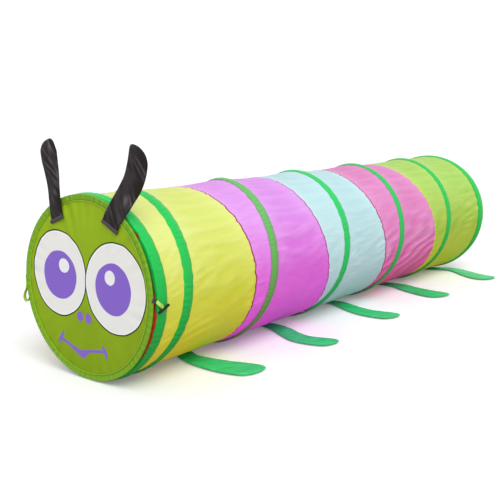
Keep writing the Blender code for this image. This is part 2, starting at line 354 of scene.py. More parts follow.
def sewn_sheet(name, counts, flat, place, thickness, middle_of=tube_middle):
    """A grid of cloth laid in place, turned outwards and given its thickness."""
    obj = cloth_grid(name, counts, flat, place)
    outward(obj, middle_of)
    thicken(obj, thickness)
    return obj


def paint(obj, material):
    """Gives the whole piece one material."""
    obj.data.materials.clear()
    obj.data.materials.append(material)


def dress(obj, material, body, node):
    """Gives a piece its material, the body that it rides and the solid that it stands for."""
    paint(obj, material)
    if body:
        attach(obj, body)
    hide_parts(node)
    return obj


# The cloth tube's shape


def waves(seed, counts, slopes, angle, y):
    """Random soft waves round the tube, one for each count, tilted along it by its slope."""
    chance = np.random.default_rng(seed)
    total = np.zeros_like(angle)
    for count, slope in zip(counts, slopes):
        total += np.sin(count * angle + slope * y + chance.uniform(0.0, TURN))
    return total / math.sqrt(len(counts))


def ripples(seed, counts, angle):
    """Random waves round the tube that don't change along it."""
    return waves(seed, counts, (0.0,) * len(counts), angle, angle)


def seam_line(index, angle):
    """Where a seam lies along the tunnel, all round it. Angles count from the bottom towards +X."""
    lean, side_lean, shift = SEAM_LEANS[index]
    ripple = 0.0016 * ripples(40 + index, (23, 31, 38, 47), angle) if 0 < index < PANELS else 0.0
    return FRONT + index * PITCH + lean * np.cos(angle) + side_lean * np.sin(angle) + shift + ripple


def tail_line(angle):
    """Where the tail hoop lies, half a sleeve in from the edge of the cloth."""
    return seam_line(PANELS, angle) - SLEEVE / 2


def coil_place(corner):
    """How far along the tunnel the coil lies after so many steps round, with the drift of each turn."""
    angle = (corner + 0.5) * STEP
    rise = math.cos(STEP / 2) - np.cos(angle)
    turn = np.clip((angle / TURN).astype(int), 0, PANELS - 1)
    drift = np.array(COIL_DRIFTS)[turn] * np.sin(angle)
    return COIL_FIRST + COIL_RUN * corner / COIL_CORNERS - COIL_LEAN * rise / 2 + drift


def to_wire(angle, y):
    """Distance along the tunnel to the nearest hoop or turn of the coil."""
    nearest = np.minimum(np.abs(y), np.abs(y - tail_line(angle)))
    for turn in range(PANELS):
        corner = angle / STEP - 0.5 + COIL_STEPS * turn
        there = (corner >= 0) & (corner <= COIL_CORNERS)
        nearest = np.where(there, np.minimum(nearest, np.abs(y - coil_place(corner))), nearest)
    return nearest


def to_seam(angle, y):
    nearest = np.full_like(y, LENGTH)
    for index in range(1, PANELS):
        nearest = np.minimum(nearest, np.abs(y - seam_line(index, angle)))
    return nearest


def smooth_radius(angle, wire, seam):
    """Radius of the cloth without its folds: full at the wires, drawn in at the seams, least underneath."""
    low = 0.2205 + 0.0015 * np.cos(angle)
    return low + (PANEL_RADIUS - low) * (seam / (seam + wire + 1e-6)) ** 1.25


def crease_noise(points, size):
    return np.array([noise.noise(Vector(point) / size) for point in points])


def on_cylinder(angle, along):
    return np.stack([HOOP * np.sin(angle), along, HOOP * np.cos(angle)], axis=1)


def wrinkles(angle, y):
    """Long soft creases that run along the tunnel on a slant, from -1 to 1."""
    total = np.zeros_like(angle)
    layers = ((0.9, 0.16, 0.030, 0.0), (-1.3, 0.20, 0.024, 5.0), (0.2, 0.12, 0.017, 9.0))
    for twist, stretch, size, offset in layers:
        ridge = 1.0 - 2.4 * np.abs(crease_noise(on_cylinder(angle + twist * y, y * stretch + offset), size))
        total += ridge * (1.0 if size > 0.02 else 0.6)
    return total / 2.2


def slanted_creases(angle, y):
    """Soft creases a little on the slant, in scattered patches on the tunnel's sides, from 0 to 1."""
    ridge = np.clip(1.0 - 3.2 * np.abs(crease_noise(on_cylinder(angle - 0.9 * y, 0.20 * y), 0.026)), 0.0, 1.0)
    patch = np.clip(3.0 * crease_noise(on_cylinder(angle, y + 3.0), 0.13) + 0.25, 0.0, 1.0)
    return ridge * patch * np.exp(-(((np.abs(np.sin(angle)) - 1.0) / 0.30) ** 2))


def drawn_folds(index, angle, y):
    """Bigger folds that the coil draws on a slant across the tunnel's right side, from -1 to 1."""
    middle, spread, strength = DRAWN_FOLDS[index]
    uneven = 1.9 * waves(50 + index, (5, 9, 14), (9.0, -7.0, 12.0), angle, y)
    wave = np.sin(TURN * (HOOP * angle - 0.62 * y) / 0.064 + uneven)
    return strength * wave * np.exp(-(((angle - math.radians(middle)) / math.radians(spread)) ** 2))


def seam_gathers(angle, y):
    return waves(7, (61, 73, 86, 97, 109), (6.0, -9.0, 4.0, -5.0, 8.0), angle, y)


def seam_surface(angle, y):
    """Radius of the cloth under a seam's tape and how proud each fold is."""
    wire = to_wire(angle, y)
    seam = to_seam(angle, y)
    free = np.clip((wire - 0.006) / 0.030, 0.0, 1.0)
    slack = np.clip(seam / 0.012, 0.35, 1.0) * free
    folds = wrinkles(angle, y) * slack
    gathers = seam_gathers(angle, y) * np.exp(-seam / 0.022)
    puckers = ripples(8, (90, 104, 121, 137), angle) * np.exp(-np.abs(wire - 0.017) / 0.010)
    radius = smooth_radius(angle, wire, seam) + 0.0016 * folds + 0.0008 * gathers + 0.0004 * puckers * free
    return np.minimum(radius, PANEL_RADIUS), folds + 0.6 * gathers


def band_under(points):
    """Which band of the tunnel a point lies on, from 0 at the head to 1 at the tail."""
    angle = np.arctan2(points[:, 0], HEIGHT - points[:, 2])
    count = sum((points[:, 1] > seam_line(index, angle)).astype(float) for index in range(1, PANELS))
    return count / (PANELS - 1)


def bend_at(y):
    """How far the tunnel has bent to the right at a place along it."""
    return BEND * np.clip((y - BEND_FROM) / (BACK - BEND_FROM), 0.0, 1.1) ** 2


def round_point(angle, radius, y):
    """A point round the tunnel, pressed flat where it rests on the floor."""
    up = np.maximum(HEIGHT - radius * np.cos(angle), OFF_FLOOR)
    return np.stack([radius * np.sin(angle) + bend_at(y), y, up], axis=1)


def off_mouth(x):
    """How far the door stands off the mouth: most at its right edge."""
    return DOOR_FORWARD + DOOR_GAP * np.clip((x + 0.06) / 0.28, 0.0, 1.0) ** 1.6


def door_point(angle, radius, y):
    """A point on the door, which is a little smaller than the mouth and hangs a little to one side."""
    point = round_point(angle, radius * DOOR_SHARE, y)
    point[:, 0] += DOOR_SHIFT
    point[:, 1] -= off_mouth(point[:, 0])
    return point


def band_place(angle, along, index):
    """Where one band starts and ends along the tunnel, and where a share of its length lies."""
    first = seam_line(index, angle) + 0.0003
    last = seam_line(index + 1, angle) - 0.0003
    return first, last, first + (last - first) * along


# The cloth settles


def cloth_before_settling(across, along):
    """The whole tube, with only a hint of its folds, for the simulation to start from."""
    index = np.minimum((along * PANELS).astype(int), PANELS - 1)
    share = along * PANELS - index
    angle = across * TURN
    y = np.zeros_like(angle)
    for band in range(PANELS):
        here = index == band
        y[here] = band_place(angle[here], share[here], band)[2]
    wire = to_wire(angle, y)
    seam = to_seam(angle, y)
    free = np.clip((wire - 0.016) / 0.03, 0.0, 1.0) * np.clip(seam / 0.03, 0.0, 1.0)
    hint = 0.0010 * free * (0.3 + wrinkles(angle, y))
    return angle, smooth_radius(angle, wire, seam) - hint, y, wire, seam


def tube_net(angle, radius, y):
    """The tube as a net of four-cornered faces, closed round itself and open at both ends."""
    obj = new_piece("tube_net", bpy.ops.mesh.primitive_cylinder_add, vertices=NET_ROUND)
    net = np.arange((NET_ALONG + 1) * NET_ROUND).reshape(NET_ALONG + 1, NET_ROUND)
    beside = np.roll(net, -1, axis=1)
    faces = np.stack([net[:-1], beside[:-1], beside[1:], net[1:]], axis=-1).reshape(-1, 4)
    obj.data.clear_geometry()
    obj.data.from_pydata(round_point(angle, radius, y).tolist(), [], faces.tolist())
    return obj


def add_cloth(obj, cut):
    """Thin nylon that holds where it is sewn and is cut to the shape of the key named cut."""
    modifier = obj.modifiers.new("Cloth", "CLOTH")
    settings = modifier.settings
    settings.quality = 5
    settings.mass = 0.12
    settings.air_damping = 4.0
    settings.tension_stiffness = 18.0
    settings.compression_stiffness = 18.0
    settings.shear_stiffness = 6.0
    settings.bending_stiffness = 0.04
    settings.rest_shape_key = cut
    settings.vertex_group_mass = "sewn"
    settings.pin_stiffness = 1.0
    settings.effector_weights.gravity = 0.1
    modifier.collision_settings.use_collision = False
    modifier.point_cache.frame_start = 1
    modifier.point_cache.frame_end = SETTLE_FRAMES


def settle_tube():
    """Cloth cut a little too big between the sewn lines settles into its folds.

    Gives how far each place on a coarse net moves from the smooth tube: outwards, round and along.
    """
    across, along = np.meshgrid(np.arange(NET_ROUND) / NET_ROUND, np.arange(NET_ALONG + 1) / NET_ALONG)
    angle, radius, y, wire, seam = cloth_before_settling(across.ravel(), along.ravel())
    obj = tube_net(angle, radius, y)
    obj.shape_key_add(name="sewn in place")
    cut = obj.shape_key_add(name="cut")
    straight = round_point(angle, np.full_like(radius, PANEL_RADIUS * CUT_WIDER), y * CUT_SHORTER)
    cut.data.foreach_set("co", straight.ravel())
    sewn = obj.vertex_groups.new(name="sewn")
    ends = (along.ravel() == 0.0) | (along.ravel() == 1.0)
    held = (wire < SEWN_BY_WIRE) | (seam < SEWN_BY_SEAM) | ends
    sewn.add(np.flatnonzero(held).tolist(), 1.0, "REPLACE")
    add_cloth(obj, cut)
    for step in range(1, SETTLE_FRAMES + 1):
        bpy.context.scene.frame_set(step)
    settled = obj.evaluated_get(bpy.context.evaluated_depsgraph_get())
    after = points_of(settled)
    after[:, 0] -= bend_at(after[:, 1])
    bpy.data.objects.remove(obj, do_unlink=True)
    bpy.context.scene.frame_set(1)
    out = np.hypot(after[:, 0], HEIGHT - after[:, 2]) - smooth_radius(angle, wire, seam)
    turned = np.arctan2(after[:, 0], HEIGHT - after[:, 2])
    around = (turned - angle + math.pi) % TURN - math.pi
    return np.stack([out, around, after[:, 1] - y], axis=1).reshape(NET_ALONG + 1, NET_ROUND, 3)


def cubic_weights(share):
    """The four weights of a smooth curve through evenly spaced values."""
    square, cube = share**2, share**3
    return (
        -0.5 * cube + square - 0.5 * share,
        1.5 * cube - 2.5 * square + 1.0,
        -1.5 * cube + 2.0 * square + 0.5 * share,
        0.5 * cube - 0.5 * square,
    )


def read_net(net, across, along):
    """The net's values at any place, smoothly between its points. It closes on itself round the tube."""
    rows, columns = net.shape[:2]
    place_round = across * columns
    place_along = np.clip(along * (rows - 1), 0.0, rows - 1 - 1e-9)
    column = np.floor(place_round).astype(int)
    row = np.floor(place_along).astype(int)
    total = np.zeros((len(across), net.shape[2]))
    for row_step, row_weight in enumerate(cubic_weights(place_along - row)):
        for column_step, column_weight in enumerate(cubic_weights(place_round - column)):
            near_row = np.clip(row + row_step - 1, 0, rows - 1)
            near_column = (column + column_step - 1) % columns
            total += (row_weight * column_weight)[:, None] * net[near_row, near_column]
    return total


# Materials


class Graph:
    """The nodes of one material, light or group, with short ways to add to them."""

    def __init__(self, tree):
        self.nodes = tree.nodes
        self.links = tree.links

    def add(self, kind, **settings):
        made = self.nodes.new(kind)
        for key, value in settings.items():
            setattr(made, key, value)
        return made

    def feed(self, sockets, values):
        """Gives sockets, by name or number, another's output, or a plain number, vector or colour."""
        for key, value in values.items():
            if isinstance(value, bpy.types.NodeSocket):
                self.links.new(value, sockets[key])
            else:
                coloured = sockets[key].type == "RGBA"
                sockets[key].default_value = (*value, 1.0) if coloured else value

    def fed(self, kind, *values, **settings):
        """A node whose first inputs are given in turn."""
        made = self.add(kind, **settings)
        self.feed(made.inputs, dict(enumerate(values)))
        return made

    def value(self, operation, *values, clamp=False):
        return self.fed("ShaderNodeMath", *values, operation=operation, use_clamp=clamp).outputs[0]

    def vector(self, operation, *values):
        return self.fed("ShaderNodeVectorMath", *values, operation=operation).outputs[0]

    def measure(self, operation, *values):
        """A vector operation that gives one number."""
        return self.vector(operation, *values).node.outputs["Value"]

    def mix(self, share, first, second):
        made = self.add("ShaderNodeMix", data_type="RGBA")
        self.feed(made.inputs, {0: share, 6: first, 7: second})
        return made.outputs[2]

    def group(self, tree, *values):
        return self.fed("ShaderNodeGroup", *values, node_tree=tree).outputs

    def parts(self, vector):
        return self.fed("ShaderNodeSeparateXYZ", vector).outputs

    def uv_parts(self):
        return self.parts(self.add("ShaderNodeUVMap").outputs[0])

    def attribute(self, name):
        return self.add("ShaderNodeAttribute", attribute_name=name).outputs["Fac"]

    def place(self):
        return self.add("ShaderNodeTexCoord").outputs["Object"]

    def clouds(self, scale, detail=2.0):
        """Noise over the piece's own place: its value and its colour."""
        made = self.add("ShaderNodeTexNoise")
        self.feed(made.inputs, {"Vector": self.place(), "Scale": scale, "Detail": detail})
        return made.outputs

    def soft_edge(self, past):
        """1 inside a printed shape, 0 outside it, from the distance past its edge."""
        return self.value("MULTIPLY_ADD", past, -1.0 / PRINT_EDGE, 0.5, clamp=True)


def new_material(name):
    made = bpy.data.materials.new(name)
    made.use_nodes = True
    return made, Graph(made.node_tree), made.node_tree.nodes["Principled BSDF"].inputs


def new_group(name, inputs, outputs):
    """An empty node group: its tree, its graph, what it is given and what it shows."""
    tree = bpy.data.node_groups.new(name, "ShaderNodeTree")
    for way, sockets in (("INPUT", inputs), ("OUTPUT", outputs)):
        for label, kind in sockets:
            tree.interface.new_socket(label, in_out=way, socket_type="NodeSocket" + kind)
    graph = Graph(tree)
    return tree, graph, graph.add("NodeGroupInput").outputs, graph.add("NodeGroupOutput").inputs


def linear(red, green, blue):
    """A screen colour, 0 to 255, as the light it stands for."""
    return tuple(
        value / 255 / 12.92 if value <= 10 else ((value / 255 + 0.055) / 1.055) ** 2.4
        for value in (red, green, blue)
    )


def weave_group():
    """Plain weave: a small height for the threads, and a cloudy mask for uneven dye."""
    inputs = [("Threads per metre", "Float")]
    tree, graph, given, shown = new_group("plain weave", inputs, [("Height", "Float"), ("Clouds", "Float")])
    phase = graph.value("MULTIPLY", given[0], TURN)
    across, along, _ = graph.uv_parts()
    warp, weft = (graph.value("SINE", graph.value("MULTIPLY", part, phase)) for part in (across, along))
    graph.feed(shown, {"Height": graph.value("MULTIPLY", warp, weft), "Clouds": graph.clouds(9.0, 4.0)[0]})
    return tree


def new_cloth(name, roughness, gloss):
    """Woven cloth: its material, its graph, its shader's inputs and the clouds in its dye."""
    made, graph, shader = new_material(name)
    height, clouds = graph.group(WEAVE, THREADS_PER_METRE)
    rough = graph.value("MULTIPLY_ADD", clouds, 0.16, roughness - 0.08)
    bump = graph.add("ShaderNodeBump")
    graph.feed(bump.inputs, {"Strength": 0.25, "Distance": 0.0002, "Height": height})
    graph.feed(shader, {"Roughness": rough, "Normal": bump.outputs[0], "Specular IOR Level": gloss})
    return made, graph, shader, clouds


def fold_light_share(graph):
    """Share for painted shade and painted light on folds: 0 deep in a crease, 1 on the top of a fold."""
    return graph.value("MULTIPLY_ADD", graph.attribute("fold"), 0.5, 0.5, clamp=True)


def height_share(graph, low, high):
    """0 up to one height above the floor, 1 from another."""
    up = graph.parts(graph.place())[2]
    return graph.value("MULTIPLY_ADD", up, 1.0 / (high - low), -low / (high - low), clamp=True)


def tone_ramp(graph, share, tones):
    """Screen colours spread evenly from 0 to 1."""
    ramp = graph.fed("ShaderNodeValToRGB", share)
    stops = ramp.color_ramp.elements
    while len(stops) < len(tones):
        stops.new(0.5)
    for index, tone in enumerate(tones):
        stops[index].position = index / (len(tones) - 1)
        stops[index].color = (*linear(*tone), 1.0)
    return ramp.outputs[0]


def cloth_of(name, tones, roughness=0.5, gloss=0.15):
    """Dyed woven cloth in three tones: its own, painted shade in its creases and painted light on its folds;
    darker still at its sewn edges.
    """
    colour, shade, light = (linear(*tone) for tone in tones)
    made, graph, shader, clouds = new_cloth(name, roughness, gloss)
    # Painted shade in creases and painted light on folds, mixed with the own colour by random clouds
    crease = graph.mix(fold_light_share(graph), shade, light)
    dye_and_painted_light = graph.mix(graph.value("MULTIPLY_ADD", clouds, 0.5, 0.2), crease, colour)
    sewn = graph.value("MULTIPLY_ADD", graph.attribute("edge"), 5.0, -3.9, clamp=True)
    dark = tuple(value * 0.55 for value in shade)
    graph.feed(shader, {"Base Color": graph.mix(graph.value("MULTIPLY", sewn, 0.65), dye_and_painted_light, dark)})
    return made


def panel_material(index):
    """Thin nylon with painted light, paler on top and fuller in colour low down, and painted shade in its
    creases.
    """
    name = PANEL_NAMES[index]
    made, graph, shader, clouds = new_cloth(name + " cloth", 0.46, 0.12)
    # Painted light: deeper colour low down and paler on top
    tone = tone_ramp(graph, height_share(graph, 0.05, 0.37), PANEL_TONES_WITH_PAINTED_LIGHT[name])
    # Painted shade in creases and painted light on folds, over random clouds in the dye
    deepening = graph.value("MULTIPLY_ADD", fold_light_share(graph), -0.56, 1.24)
    depth = graph.value("MULTIPLY_ADD", clouds, 0.16, deepening)
    colour = graph.fed("ShaderNodeGamma", tone, depth).outputs[0]
    across, along, _ = graph.uv_parts()
    stitch = graph.value("SINE", graph.value("MULTIPLY", across, 1500.0))
    for seam, distance in ((index - 1, along), (index, graph.value("SUBTRACT", PITCH, along))):
        if 0 <= seam < PANELS - 1:
            ragged = graph.value("MULTIPLY_ADD", stitch, 0.0004, distance)
            mask = graph.value("MULTIPLY_ADD", ragged, -1200.0, 3.0, clamp=True)
            colour = graph.mix(mask, colour, linear(*SEAM_THREADS[seam]))
    graph.feed(shader, {"Base Color": colour})
    return made


def satin_material():
    """Green satin, thin enough to take some of the colour of the band that it lies on, with painted shade in
    its creases and low down and painted light on its folds and high up.
    """
    made, graph, shader, _ = new_cloth("sleeve satin", 0.34, 0.15)
    under = graph.attribute("under")
    deep = tone_ramp(graph, under, SATIN_PAINTED_SHADE)
    bright = tone_ramp(graph, under, SATIN_PAINTED_LIGHT)
    # Painted shade in creases and painted light on folds
    crease = graph.mix(fold_light_share(graph), deep, bright)
    # Painted light: deeper low down and lighter high up
    dye_and_painted_light = graph.mix(height_share(graph, 0.0, 0.40), deep, bright)
    graph.feed(shader, {"Base Color": graph.mix(0.65, crease, dye_and_painted_light)})
    return made


def oval_group():
    """A soft-edged oval mask in the face's plane."""
    inputs = [("Place", "Vector"), ("Centre", "Vector"), ("Radii", "Vector"), ("Grow", "Float")]
    tree, graph, given, shown = new_group("printed oval", inputs, [("Mask", "Float")])
    away = graph.vector("SUBTRACT", given["Place"], given["Centre"])
    grow = graph.fed("ShaderNodeCombineXYZ", *[given["Grow"]] * 3).outputs[0]
    radii = graph.vector("ADD", given["Radii"], grow)
    reach = graph.measure("LENGTH", graph.vector("DIVIDE", away, radii))
    past = graph.value("MULTIPLY", graph.value("SUBTRACT", reach, 1.0), graph.parts(radii)[0])
    graph.feed(shown, {"Mask": graph.soft_edge(past)})
    return tree


def stroke_group():
    """A soft-edged tapered stroke between two points in the face's plane."""
    inputs = [("Place", "Vector"), ("Start", "Vector"), ("End", "Vector")]
    inputs += [("Start half width", "Float"), ("End half width", "Float")]
    tree, graph, given, shown = new_group("printed stroke", inputs, [("Mask", "Float")])
    place, start, end, start_half, end_half = (given[index] for index in range(len(inputs)))
    away = graph.vector("SUBTRACT", place, start)
    run = graph.vector("SUBTRACT", end, start)
    dots = [graph.measure("DOT_PRODUCT", run, other) for other in (away, run)]
    share = graph.value("DIVIDE", *dots, clamp=True)
    scaled = graph.add("ShaderNodeVectorMath", operation="SCALE")
    graph.feed(scaled.inputs, {0: run, "Scale": share})
    aside = graph.measure("LENGTH", graph.vector("SUBTRACT", away, scaled.outputs[0]))
    half = graph.value("MULTIPLY_ADD", graph.value("SUBTRACT", end_half, start_half), share, start_half)
    graph.feed(shown, {"Mask": graph.soft_edge(graph.value("SUBTRACT", aside, half))})
    return tree


WEAVE = weave_group()
OVAL = oval_group()
STROKE = stroke_group()


def print_place(graph):
    """Object coordinates about the face's middle, waved a little by the cloth's puckers."""
    centred = graph.vector("SUBTRACT", graph.place(), (0.0, 0.0, HEIGHT))
    flat = graph.vector("MULTIPLY", centred, (1.0, 0.0, 1.0))
    wave = graph.vector("SUBTRACT", graph.clouds(14.0)["Color"], (0.5, 0.5, 0.5))
    return graph.vector("ADD", flat, graph.vector("MULTIPLY", wave, (0.007, 0.0, 0.007)))


def print_ovals(graph, place, colour, ovals, inks):
    """Ovals printed over a colour, each in its layers: how much larger, and in what screen colour."""
    for (x, z), (wide, high) in ovals:
        for grow, ink in inks:
            mask = graph.group(OVAL, place, (x, 0.0, z), (wide, 1.0, high), grow)[0]
            colour = graph.mix(mask, colour, linear(*ink))
    return colour


def print_strokes(graph, place, colour, strokes, ink):
    """Strokes printed over a colour, each from point to point."""
    for stroke in strokes:
        for (start_x, start_z, start_half), (end_x, end_z, end_half) in zip(stroke, stroke[1:]):
            ends = ((start_x, 0.0, start_z), (end_x, 0.0, end_z))
            mask = graph.group(STROKE, place, *ends, start_half, end_half)[0]
            colour = graph.mix(mask, colour, linear(*ink))
    return colour


def face_material():
    """The face cloth: green, with its printed eyes, nose and smile, which show faintly at its back."""
    made, graph, shader, clouds = new_cloth("printed face", 0.46, 0.12)
    place = print_place(graph)
    # Random clouds in the dye, and painted light that makes the green paler towards the top
    pale = graph.value("MULTIPLY_ADD", clouds, 1.1, -0.45)
    pale = graph.value("MULTIPLY_ADD", height_share(graph, 0.0, 0.46), 0.8, pale)
    dye_and_painted_light = graph.mix(pale, *(linear(*green) for green in FACE_GREENS))
    colour = print_ovals(graph, place, dye_and_painted_light, EYES, EYE_INKS)
    colour = print_ovals(graph, place, colour, IRISES + NOSTRILS, ((0.0, VIOLET),))
    colour = print_ovals(graph, place, colour, GLINTS, ((0.0, GLINT_WHITE),))
    colour = print_strokes(graph, place, colour, SMILE, VIOLET)
    colour = graph.mix(graph.value("MULTIPLY", graph.attribute("back"), 0.88), colour, dye_and_painted_light)
    shadow = graph.value("MULTIPLY_ADD", graph.attribute("fold"), -0.16, 0.02, clamp=True)
    graph.feed(shader, {"Base Color": graph.mix(shadow, colour, (0.10, 0.14, 0.02))})
    return made


def steel_material():
    """Scratched grey steel."""
    made, graph, shader = new_material("spring steel")
    scratch = graph.clouds(60.0)[0]
    rough = graph.value("MULTIPLY_ADD", scratch, 0.3, 0.2)
    grey = graph.mix(scratch, (0.30, 0.30, 0.31), (0.42, 0.42, 0.43))
    graph.feed(shader, {"Roughness": rough, "Base Color": grey, "Metallic": 1.0})
    return made


# Pieces


def panel_anchor(index):
    return FRONT + (index + 0.8) * PITCH


def collapse(obj):
    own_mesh(obj)


def settled_surface(index, angle, y, moved):
    """Radius of a band, moved out as it settled and with its finest folds, and how proud each is."""
    wire = to_wire(angle, y)
    seam = to_seam(angle, y)
    free = np.clip((wire - 0.014) / 0.02, 0.0, 1.0)
    gathers = seam_gathers(angle, y) * np.exp(-seam / 0.014) * np.clip((wire - 0.010) / 0.02, 0.0, 1.0)
    patch = np.clip(0.4 + 0.7 * waves(9, (3, 7, 11, 17), (5.0, 9.0, -7.0, 4.0), angle, y), 0.0, 1.0)
    puckers = patch * waves(8, (90, 104, 121, 137), (40.0, -50.0, 30.0, -60.0), angle, y)
    puckers = puckers * np.exp(-np.abs(wire - 0.020) / 0.008) * np.clip((wire - 0.0155) / 0.004, 0.0, 1.0)
    creases = slanted_creases(angle, y) * free * np.clip(seam / 0.015, 0.0, 1.0)
    drawn = drawn_folds(index, angle, y) * free
    radius = smooth_radius(angle, wire, seam) + moved + GATHER * gathers + PUCKER * puckers + CREASE * creases
    radius = radius + DRAWN * (drawn - np.abs(drawn) * 0.5) * np.clip(seam / 0.02, 0.2, 1.0)
    return radius, moved / 0.003 + 0.45 * (gathers + puckers + creases) + 0.9 * drawn


def build_panel(index, material, net):
    """One band of the tunnel, gathered into the seams at both its edges."""
    name = PANEL_NAMES[index]

    def place(across, along):
        angle = across * TURN
        first, last, y = band_place(angle, along, index)
        if net is None:
            radius, folds = seam_surface(angle, y)
        else:
            out, around, ahead = read_net(net, across, (index + along) / PANELS).T
            radius, folds = settled_surface(index, angle, y, out)
            angle = angle + around
            y = y + ahead
        for sewn, near in ((index > 0, y - first), (index < PANELS - 1, last - y)):
            if sewn:
                turned_in = np.exp(-np.maximum(near, 0.0) / 0.0014)
                radius = radius - 0.0020 * turned_in
                # Painted shade where the edge turns in at the seam
                folds = folds - 1.2 * turned_in
        return round_point(angle, np.minimum(radius, HOOP - 0.0005), y), folds

    obj = sewn_sheet("cloth_" + name, (336, 84), (1.42, PITCH), place, PANEL_CLOTH)
    return dress(obj, material, f"segment_{index + 1}", "panel_" + name)


def build_binding(index, material):
    """Tape folded over the seam's raw edges, inside the tunnel."""
    width = 0.012

    def place(across, along):
        angle = across * TURN
        y = seam_line(index + 1, angle) + (along - 0.5) * width
        radius, folds = seam_surface(angle, y)
        return round_point(angle, radius - 0.0040, y), folds

    obj = sewn_sheet(f"seam_tape_{index + 1}", (240, 4), (1.40, width), place, FACE_CLOTH)
    return dress(obj, material, f"segment_{index + 1}", f"seam_binding_{index + 1}")


def sleeve_radius(step, pucker):
    """Radius of a sleeve at a step from its middle: a tent over the wire, sewn flat at its edges."""
    share = np.clip(np.abs(step) / (SLEEVE / 2), 0.0, 1.0)
    height = SLEEVE_TENT * (1.0 - share) ** 0.75 + 0.0003
    return PANEL_RADIUS + (height + 0.0005 * pucker * np.sin(math.pi * share) ** 2)


def sleeve_puckers(seed, patches, counts, slopes, angle, step, speed=1.0):
    """The sleeve's fine puckers, in scattered patches round the tunnel."""
    patch = np.clip(0.5 + 0.6 * ripples(seed + 1, patches, angle), 0.1, 1.0)
    return patch * waves(seed, counts, slopes, angle * speed, step)


def build_hoop_sleeve(name, body, middle, material):
    """The satin strip over a hoop. The mouth's goes on round the edge, over the facing.

    The tail's grows wider on the right, where the hoop leans.
    """
    wraps = body == "front_hoop"
    wrapped = 0.3 if wraps else 0.0

    def place(across, along):
        angle = across * TURN
        sewn = np.clip((along - wrapped) / (1.0 - wrapped), 0.0, 1.0)
        step = (sewn - 0.5) * SLEEVE
        edge = 0.0010 * ripples(3, (29, 37, 44, 58), angle) * (np.abs(sewn - 0.5) * 2.0) ** 4
        y = middle(angle) + step + edge * np.sign(step) * 0.5
        pucker = sleeve_puckers(11, (5, 8, 13), (83, 96, 118, 141), (40.0, -60.0, 30.0, -20.0), angle, step)
        radius = sleeve_radius(step, pucker)
        if wraps:
            inward = np.clip(1.0 - along / wrapped, 0.0, 1.0)
            front = np.clip((0.5 - sewn) / 0.2, 0.0, 1.0)
            radius = np.maximum(radius, PANEL_RADIUS + 0.0024 * front)
            radius = radius - (0.0140 - 0.0120 * bare_facing(angle)) * inward
            y = y - 0.0021 * np.sin(np.clip(inward * 4.0, 0.0, 1.0) * math.pi / 2)
        else:
            y = y - 0.014 * np.clip(np.sin(angle), 0.0, 1.0) ** 2 * (1.0 - along)
        return round_point(angle, radius, y), pucker * 0.7

    obj = sewn_sheet(name, (420, 20 if wraps else 14), (1.44, SLEEVE), place, SLEEVE_CLOTH)
    return dress(obj, material, body, body + "_sleeve")


def build_spring_sleeve(material):
    """The satin strip sewn over the coil, from hoop to hoop."""
    turns = COIL_CORNERS / COIL_STEPS

    def place(across, along):
        corner = across * COIL_CORNERS
        angle = (corner + 0.5) * STEP
        step = (along - 0.5) * COIL_SLEEVE
        counts, slopes = (83, 97, 118, 141), (50.0, -70.0, 35.0, -25.0)
        pucker = sleeve_puckers(17, (4.3, 7.1, 11.7), counts, slopes, angle, step, 1.013)
        y = coil_place(corner) + step + 0.0008 * ripples(5, (31, 41, 53), angle) * np.sign(step)
        y = np.clip(y, SLEEVE / 2 + 0.0003, tail_line(angle) - SLEEVE / 2 - 0.0003)
        return round_point(angle, sleeve_radius(step, pucker), y), pucker * 0.7

    obj = sewn_sheet("coil_sleeve", (round(420 * turns), 12), (7.1, SLEEVE), place, SLEEVE_CLOTH)
    return dress(obj, material, "front_hoop", "spring_sleeve")


def bare_facing(angle):
    """How much of the facing the mouth's sleeve leaves bare, from 0 to 1: on the right only."""
    low = np.exp(-(((angle - math.radians(66.0)) / math.radians(27.0)) ** 4))
    high = 0.8 * np.exp(-(((angle - math.radians(131.0)) / math.radians(3.0)) ** 2))
    return np.clip(low * (0.88 + 0.22 * ripples(29, (11, 17, 26), angle)) + high, 0.0, 1.0)


def build_facing(material):
    """Red tape folded round the mouth of the tunnel, behind the door."""

    def place(across, along):
        angle = across * TURN
        ripple = ripples(21, (25, 34, 49, 62), angle)
        flat = np.clip(along / 0.6, 0.0, 1.0)
        back = np.clip((along - 0.6) / 0.4, 0.0, 1.0)
        radius = 0.2115 + 0.0139 * flat + 0.0003 * ripple * (1.0 - back)
        y = -0.0161 + 0.0105 * back + 0.0002 * ripple * (1.0 - back)
        return round_point(angle, radius, y), ripple * 0.5

    def middle(points):
        return points * np.array([0.9, 1.0, 0.9]) + np.array([0.0, 0.01, 0.1 * HEIGHT])

    obj = sewn_sheet("mouth_facing", (240, 10), (1.40, 0.026), place, SLEEVE_CLOTH, middle)
    return dress(obj, material, "front_hoop", "door_facing")


def build_face(material):
    """The round door cloth, laced tight in its rim."""

    def place(across, along):
        angle = across * TURN
        radius = FACE_RADIUS * along
        ripple = ripples(31, (22, 27, 33, 39), angle)
        bulge = 0.0012 * (1.0 - along**2)
        inner = np.maximum(PIPING_RADIUS - radius, 0.0) / 0.022
        puckers = 0.0011 * inner * np.exp(1.0 - inner) * np.clip(-np.cos(angle), 0.0, 1.0) ** 2
        edge = radius - FACE_RADIUS
        y = FACE_PLANE - bulge - ripple * (0.0006 * np.exp(edge / 0.02) + puckers)
        return door_point(angle, radius, y), ripple * np.exp(edge / 0.03)

    obj = cloth_grid("face_cloth", (288, 80), (1.42, 0.225), place)
    outward(obj, lambda points: points + np.array([0.0, 1.0, 0.0]))
    printed = len(obj.data.vertices)
    thicken(obj, FACE_CLOTH)
    keep_values(obj, "back", np.arange(len(obj.data.vertices)) >= printed)
    return dress(obj, material, "door", "head_face")


